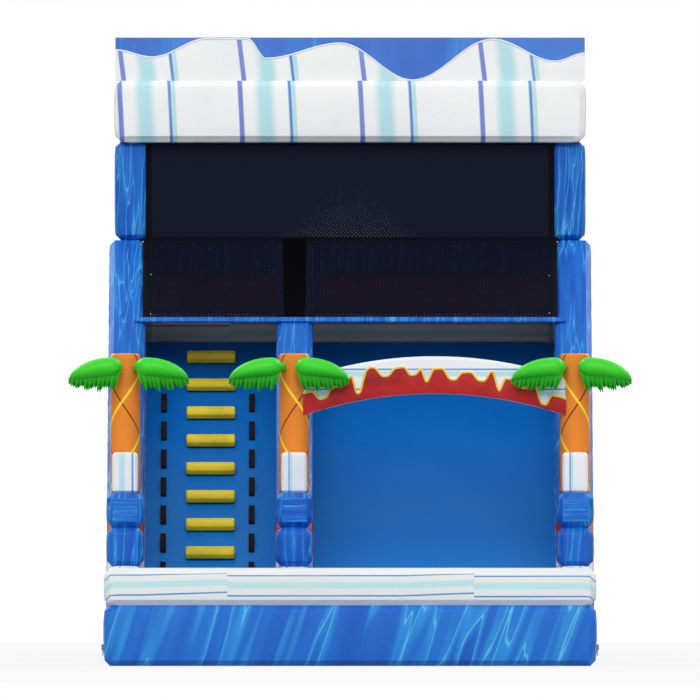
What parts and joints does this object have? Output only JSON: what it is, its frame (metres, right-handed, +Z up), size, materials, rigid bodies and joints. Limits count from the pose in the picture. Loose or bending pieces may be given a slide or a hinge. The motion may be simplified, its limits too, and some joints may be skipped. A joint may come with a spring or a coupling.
{
  "type": "inflatable water slide",
  "caption": "Inflatable water slide: a climbing lane and a wide slide lane run from a netted, roofed platform down to a splash pool, with palms, an arch and a blower.",
  "frame": {"origin": "on the ground under the middle of the bounding box", "axes": "+Z up; the pool end faces -Y and the blower is at +Y; +X is to the right seen from the pool"},
  "size_m": [4.913, 9.0014, 5.5],
  "materials": {
    "marbled_blue_vinyl": "satin",
    "lane_vinyl": "satin",
    "striped_white_vinyl": "satin",
    "red_vinyl": "satin",
    "yellow_vinyl": "satin",
    "orange_vinyl": "satin",
    "green_vinyl": "satin",
    "black_net": "matte",
    "black_webbing": "matte",
    "zinc_steel": "satin",
    "cast_aluminium": "matte",
    "graphite_plastic": "matte",
    "casing_plastic": "satin"
  },
  "bodies": {
    "slide": {"front_wall": "marbled_blue_vinyl", "front_rim": "striped_white_vinyl", "pool_floor": "lane_vinyl", "climb_ramp": "lane_vinyl", "slide_ramp": "lane_vinyl", "platform": "marbled_blue_vinyl", "left_side_wall": "marbled_blue_vinyl", "left_white_tube": "striped_white_vinyl", "left_red_tube": "red_vinyl", "left_blue_tube": "marbled_blue_vinyl", "centre_white_tube": "striped_white_vinyl", "centre_red_tube": "red_vinyl", "centre_blue_tube": "marbled_blue_vinyl", "right_side_wall": "marbled_blue_vinyl", "right_white_tube": "striped_white_vinyl", "right_red_tube": "red_vinyl", "right_blue_tube": "marbled_blue_vinyl", "back_white_tube": "striped_white_vinyl", "back_red_tube": "red_vinyl", "back_blue_tube": "marbled_blue_vinyl", "front_left_post": "marbled_blue_vinyl", "front_right_post": "marbled_blue_vinyl", "rear_left_post": "marbled_blue_vinyl", "rear_right_post": "marbled_blue_vinyl", "canopy": "striped_white_vinyl", "wave_crest": "striped_white_vinyl", "wave_backing": "marbled_blue_vinyl", "front_net": "black_net", "back_net": "black_net", "left_net": "black_net", "right_net": "black_net", "lane_net": "black_net", "net_beam": "marbled_blue_vinyl", "rung_1": "yellow_vinyl", "rung_2": "yellow_vinyl", "rung_3": "yellow_vinyl", "rung_4": "yellow_vinyl", "rung_5": "yellow_vinyl", "rung_6": "yellow_vinyl", "rung_7": "yellow_vinyl", "rung_8": "yellow_vinyl", "left_handle_strip": "black_webbing", "right_handle_strip": "black_webbing", "left_palm": "orange_vinyl", "centre_palm": "orange_vinyl", "right_palm": "orange_vinyl", "left_block": "striped_white_vinyl", "centre_block": "striped_white_vinyl", "right_block": "striped_white_vinyl", "arch": "striped_white_vinyl", "lava_trim": "red_vinyl", "inflation_sleeve": "marbled_blue_vinyl", "blower_housing": "casing_plastic", "blower_motor": "cast_aluminium", "blower_grille": "graphite_plastic"},
    "left_front_ring": {"left_front_ring": "zinc_steel"},
    "left_rear_ring": {"left_rear_ring": "zinc_steel"},
    "right_front_ring": {"right_front_ring": "zinc_steel"},
    "right_rear_ring": {"right_rear_ring": "zinc_steel"},
    "impeller": {"blower_impeller": "graphite_plastic"}
  },
  "joints": [
    {"name": "left_front_ring_swing", "type": "hinge", "parent": "slide", "child": "left_front_ring", "pos_m": [-2.149, -3.30071, 0.15], "axis": [0, 1, 0], "range_deg": [-12, 192]},
    {"name": "left_rear_ring_swing", "type": "hinge", "parent": "slide", "child": "left_rear_ring", "pos_m": [-2.149, 2.79929, 0.15], "axis": [0, 1, 0], "range_deg": [-12, 192]},
    {"name": "right_front_ring_swing", "type": "hinge", "parent": "slide", "child": "right_front_ring", "pos_m": [2.149, -3.30071, 0.15], "axis": [0, -1, 0], "range_deg": [-12, 192]},
    {"name": "right_rear_ring_swing", "type": "hinge", "parent": "slide", "child": "right_rear_ring", "pos_m": [2.149, 2.79929, 0.15], "axis": [0, -1, 0], "range_deg": [-12, 192]},
    {"name": "impeller_spin", "type": "hinge", "parent": "slide", "child": "impeller", "pos_m": [1.1, 4.27104, 0.29], "axis": [1, 0, 0], "continuous": true}
  ]
}
